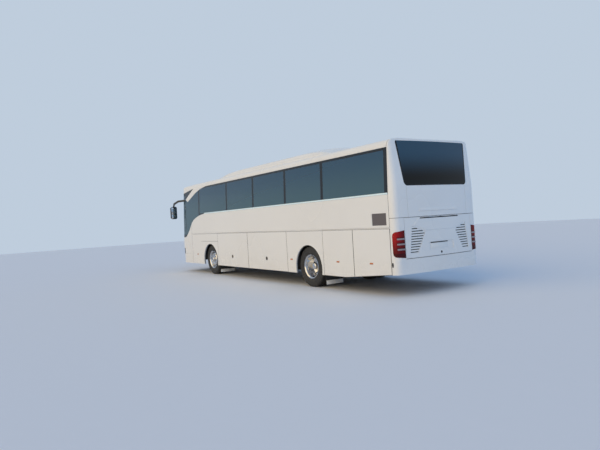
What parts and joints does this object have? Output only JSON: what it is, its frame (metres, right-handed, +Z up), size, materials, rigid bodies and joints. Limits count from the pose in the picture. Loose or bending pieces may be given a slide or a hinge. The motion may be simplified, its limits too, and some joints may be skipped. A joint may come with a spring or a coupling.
{
  "type": "coach bus",
  "caption": "High-deck two-axle touring coach with luggage bays, roof fairing, glazed cabin, steered front wheels, turning wheels and hinged flaps.",
  "frame": {"origin": "on the ground under the middle of the overall length and width", "axes": "+X forwards along the vehicle, +Y to its left, +Z up"},
  "size_m": [12.43, 3.14, 3.62],
  "materials": {
    "body_paint": "gloss",
    "tinted_glass": "gloss",
    "hatch_plastic": "satin",
    "red_lamp": "gloss",
    "clear_lamp": "gloss",
    "dark_steel": "matt",
    "engine_casting": "matt",
    "bay_sheet": "matt",
    "black_plastic": "satin",
    "seat_cloth": "matt",
    "tyre_rubber": "matt",
    "polished_rim": "polished",
    "flap_rubber": "matt"
  },
  "bodies": {
    "coach": {"arch_panels": "body_paint", "chassis_rails": "dark_steel", "dashboard": "black_plastic", "door_glass": "tinted_glass", "driver_seat": "seat_cloth", "engine": "engine_casting", "floor_deck": "bay_sheet", "front_axle": "dark_steel", "front_bumper": "body_paint", "front_door": "body_paint", "front_mask": "body_paint", "headlamps": "clear_lamp", "intake_grilles": "black_plastic", "luggage_bay": "bay_sheet", "mid_door": "body_paint", "mirrors": "black_plastic", "mudflaps": "flap_rubber", "rear_axle": "dark_steel", "rear_bumper": "body_paint", "rear_cap": "body_paint", "rear_panel": "body_paint", "rear_window": "tinted_glass", "roof": "body_paint", "roof_fairing": "body_paint", "roof_hatches": "hatch_plastic", "seats_left": "seat_cloth", "seats_right": "seat_cloth", "side_glass": "tinted_glass", "side_wall_left": "body_paint", "side_wall_right": "body_paint", "stairwell": "bay_sheet", "steering_wheel": "black_plastic", "tail_lamps": "red_lamp", "wheel_housings": "dark_steel", "windscreen": "tinted_glass"},
    "engine_lid": {"engine_lid": "body_paint"},
    "front_bay_flap_left": {"front_bay_flap_left": "body_paint"},
    "front_bay_flap_right": {"front_bay_flap_right": "body_paint"},
    "front_flap": {"front_flap": "body_paint"},
    "middle_service_flap_left": {"middle_service_flap_left": "body_paint"},
    "middle_service_flap_right": {"middle_service_flap_right": "body_paint"},
    "rear_bay_flap_left": {"rear_bay_flap_left": "body_paint"},
    "rear_bay_flap_right": {"rear_bay_flap_right": "body_paint"},
    "rear_service_flap_left": {"rear_service_flap_left": "body_paint"},
    "rear_service_flap_right": {"rear_service_flap_right": "body_paint"},
    "knuckle_left": {"knuckle_left": "dark_steel"},
    "knuckle_right": {"knuckle_right": "dark_steel"},
    "wheel_front_left": {"tyre_front_left": "tyre_rubber", "rim_front_left": "polished_rim"},
    "wheel_rear_left": {"tyres_rear_left": "tyre_rubber", "rims_rear_left": "polished_rim"},
    "wheel_front_right": {"tyre_front_right": "tyre_rubber", "rim_front_right": "polished_rim"},
    "wheel_rear_right": {"tyres_rear_right": "tyre_rubber", "rims_rear_right": "polished_rim"}
  },
  "joints": [
    {"name": "steer_left", "type": "hinge", "parent": "coach", "child": "knuckle_left", "pos_m": [3.135, 0.885, 0.52], "axis": [0, 0, 1], "range_deg": [-40, 40]},
    {"name": "front_wheel_left", "type": "hinge", "parent": "knuckle_left", "child": "wheel_front_left", "pos_m": [3.135, 1.05, 0.52], "axis": [0, 1, 0], "continuous": true},
    {"name": "rear_wheel_left", "type": "hinge", "parent": "coach", "child": "wheel_rear_left", "pos_m": [-2.945, 1.068, 0.52], "axis": [0, 1, 0], "continuous": true},
    {"name": "steer_right", "type": "hinge", "parent": "coach", "child": "knuckle_right", "pos_m": [3.135, -0.885, 0.52], "axis": [0, 0, 1], "range_deg": [-40, 40]},
    {"name": "front_wheel_right", "type": "hinge", "parent": "knuckle_right", "child": "wheel_front_right", "pos_m": [3.135, -1.05, 0.52], "axis": [0, 1, 0], "continuous": true},
    {"name": "rear_wheel_right", "type": "hinge", "parent": "coach", "child": "wheel_rear_right", "pos_m": [-2.945, -1.068, 0.52], "axis": [0, 1, 0], "continuous": true},
    {"name": "rear_service_flap_left_hinge", "type": "hinge", "parent": "coach", "child": "rear_service_flap_left", "pos_m": [-5.365, 1.255, 1.43], "axis": [1, 0, 0], "range_deg": [0, 88]},
    {"name": "rear_service_flap_right_hinge", "type": "hinge", "parent": "coach", "child": "rear_service_flap_right", "pos_m": [-5.365, -1.255, 1.43], "axis": [-1, 0, 0], "range_deg": [0, 88]},
    {"name": "middle_service_flap_left_hinge", "type": "hinge", "parent": "coach", "child": "middle_service_flap_left", "pos_m": [-4.185, 1.255, 1.43], "axis": [1, 0, 0], "range_deg": [0, 88]},
    {"name": "middle_service_flap_right_hinge", "type": "hinge", "parent": "coach", "child": "middle_service_flap_right", "pos_m": [-4.185, -1.255, 1.43], "axis": [-1, 0, 0], "range_deg": [0, 88]},
    {"name": "rear_bay_flap_left_hinge", "type": "hinge", "parent": "coach", "child": "rear_bay_flap_left", "pos_m": [-0.745, 1.255, 1.43], "axis": [1, 0, 0], "range_deg": [0, 88]},
    {"name": "rear_bay_flap_right_hinge", "type": "hinge", "parent": "coach", "child": "rear_bay_flap_right", "pos_m": [-0.745, -1.255, 1.43], "axis": [-1, 0, 0], "range_deg": [0, 88]},
    {"name": "front_bay_flap_left_hinge", "type": "hinge", "parent": "coach", "child": "front_bay_flap_left", "pos_m": [1.405, 1.255, 1.43], "axis": [1, 0, 0], "range_deg": [0, 88]},
    {"name": "front_bay_flap_right_hinge", "type": "hinge", "parent": "coach", "child": "front_bay_flap_right", "pos_m": [1.405, -1.255, 1.43], "axis": [-1, 0, 0], "range_deg": [0, 88]},
    {"name": "engine_lid_hinge", "type": "hinge", "parent": "coach", "child": "engine_lid", "pos_m": [-6.2012, 0, 1.639], "axis": [0, 1, 0], "range_deg": [0, 75]},
    {"name": "front_flap_hinge", "type": "hinge", "parent": "coach", "child": "front_flap", "pos_m": [5.9061, 0, 1.272], "axis": [0, -1, 0], "range_deg": [0, 75]}
  ],
  "couplings": [
    {"joint": "steer_right", "follows": "steer_left", "ratio": 1}
  ]
}
